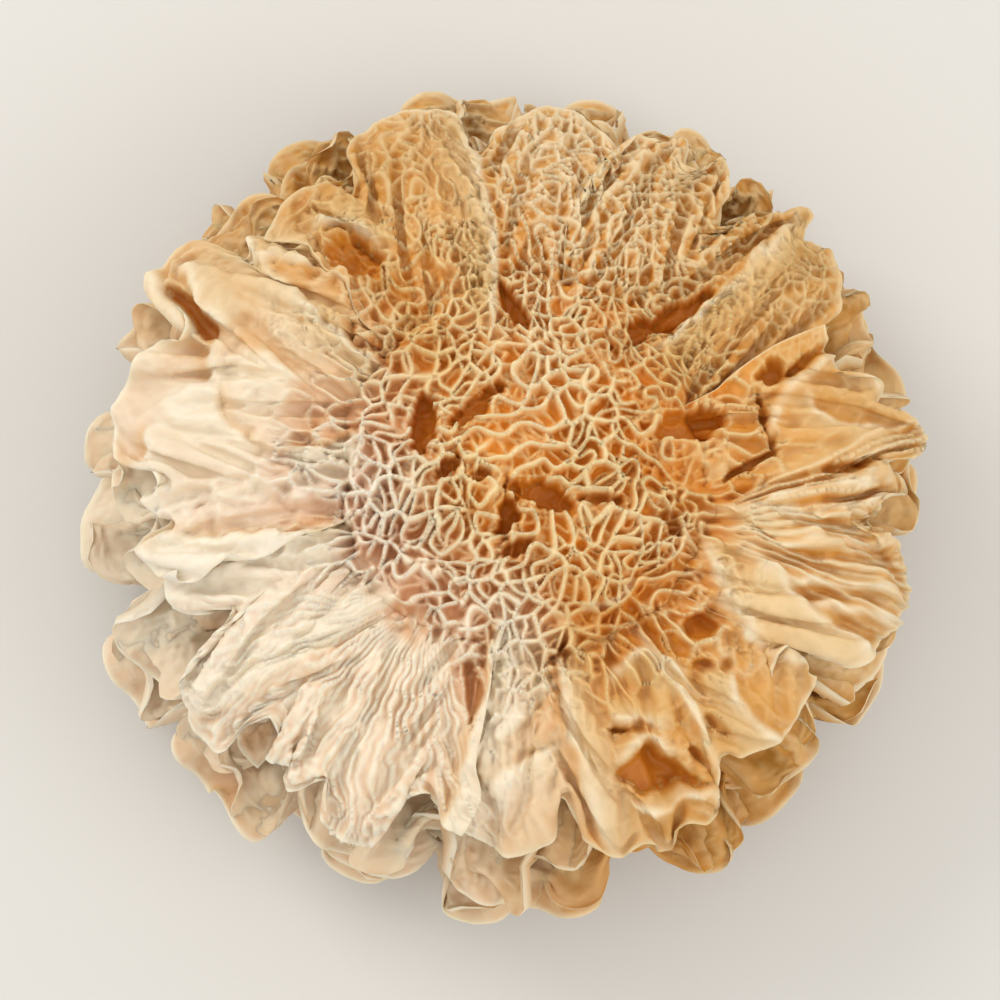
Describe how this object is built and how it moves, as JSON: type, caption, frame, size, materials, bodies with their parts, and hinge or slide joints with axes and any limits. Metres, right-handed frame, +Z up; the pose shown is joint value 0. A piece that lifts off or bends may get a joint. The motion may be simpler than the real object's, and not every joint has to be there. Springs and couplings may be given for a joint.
{
  "type": "dried snow fungus head",
  "caption": "Dried snow fungus: a low rosette of thin, ruffled, fan-shaped fronds that fork from a tough rounded base with a flat cut underneath.",
  "frame": {"origin": "centre of the flat cut under the base", "axes": "+Z up, out of the top of the head; seen from above, +X is to the right and +Y is away from the viewer"},
  "size_m": [0.0792, 0.0786, 0.0329],
  "materials": {
    "base": "rough, tough and fibrous, with a dull brown cut",
    "frond": "thin, brittle and translucent, creamy at the rims and amber in the hollows, with a soft satin sheen"
  },
  "bodies": {
    "root": {"base": "base", "skirt_frond_1": "frond", "skirt_frond_2": "frond", "skirt_frond_3": "frond", "skirt_frond_4": "frond", "skirt_frond_5": "frond", "skirt_frond_6": "frond", "lower_frond_1": "frond", "lower_frond_2": "frond", "lower_frond_3": "frond", "lower_frond_4": "frond", "lower_frond_5": "frond", "lower_frond_6": "frond", "middle_frond_1": "frond", "middle_frond_2": "frond", "middle_frond_3": "frond", "middle_frond_4": "frond", "middle_frond_5": "frond", "middle_frond_6": "frond", "upper_frond_1": "frond", "upper_frond_2": "frond", "upper_frond_3": "frond", "upper_frond_4": "frond", "upper_frond_5": "frond", "upper_frond_6": "frond", "top_frond_1": "frond", "top_frond_2": "frond", "top_frond_3": "frond", "top_frond_4": "frond", "top_frond_5": "frond", "top_frond_6": "frond", "inner_frond_1": "frond", "inner_frond_2": "frond", "inner_frond_3": "frond", "inner_frond_4": "frond", "inner_frond_5": "frond", "heart_frond_1": "frond", "heart_frond_2": "frond", "heart_frond_3": "frond"}
  },
  "joints": []
}
